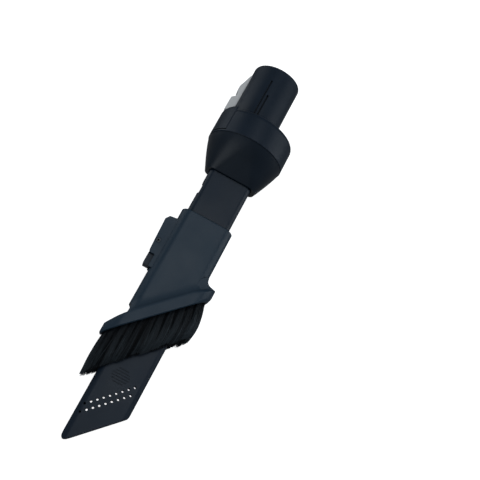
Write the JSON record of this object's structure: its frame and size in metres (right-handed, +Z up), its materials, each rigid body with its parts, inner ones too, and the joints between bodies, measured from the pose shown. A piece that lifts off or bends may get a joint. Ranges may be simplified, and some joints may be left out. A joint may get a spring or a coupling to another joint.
{
  "type": "vacuum crevice and brush tool",
  "caption": "Flat crevice tool for a handheld vacuum: slanted mouth, sliding slanted dusting brush with a rocker latch, and a round neck with a spring catch.",
  "frame": {"origin": "middle of the bounding box's bottom, on the surface the tool lies on", "axes": "+Y runs from the mouth to the neck, +Z is up out of the front face, +X is to the right; the tool's own axis rises 5.2 degrees towards the neck"},
  "size_m": [0.0606, 0.3108, 0.0619],
  "materials": {
    "satin_black": "satin",
    "gloss_black": "gloss",
    "matt_black": "fine matt grain",
    "grey_plastic": "satin",
    "bristle_black": "brushed filaments",
    "rubber": "matt",
    "steel": "satin"
  },
  "bodies": {
    "coupling": {"crevice_tube": "satin_black", "coupling_cone": "gloss_black", "coupling_collar": "satin_black", "neck_spigot": "satin_black", "inner_duct": "matt_black", "tube_gasket": "rubber", "neck_gasket": "rubber", "coupling_screw_1": "steel", "coupling_screw_2": "steel", "coupling_screw_3": "steel", "release_pin": "steel", "release_spring": "steel"},
    "release": {"release_catch": "grey_plastic", "release_button": "satin_black"},
    "carriage": {"brush_sleeve": "matt_black", "bristle_base": "matt_black", "bristles_front": "bristle_black", "bristles_back": "bristle_black", "bristles_left": "bristle_black", "bristles_right": "bristle_black", "latch_pin": "steel", "latch_spring": "steel"},
    "latch": {"latch_lever": "satin_black"}
  },
  "joints": [
    {"name": "brush_slide", "type": "slide", "parent": "coupling", "child": "carriage", "axis": [0, 0.9959, 0.0906], "range_m": [-0.062, 0.036]},
    {"name": "latch_rocker", "type": "hinge", "parent": "carriage", "child": "latch", "pos_m": [-0.02425, -0.00783, 0.02176], "axis": [0, -0.0906, 0.9959], "range_deg": [0, 5], "stiffness_Nm_per_rad": 0.01, "springref_deg": -17.19, "deforming": ["latch_spring"]},
    {"name": "release_hinge", "type": "hinge", "parent": "coupling", "child": "release", "pos_m": [-0.02355, 0.0816, 0.0299], "axis": [0, 0.0906, -0.9959], "range_deg": [0, 4.4], "stiffness_Nm_per_rad": 0.2, "springref_deg": -11.46}
  ]
}
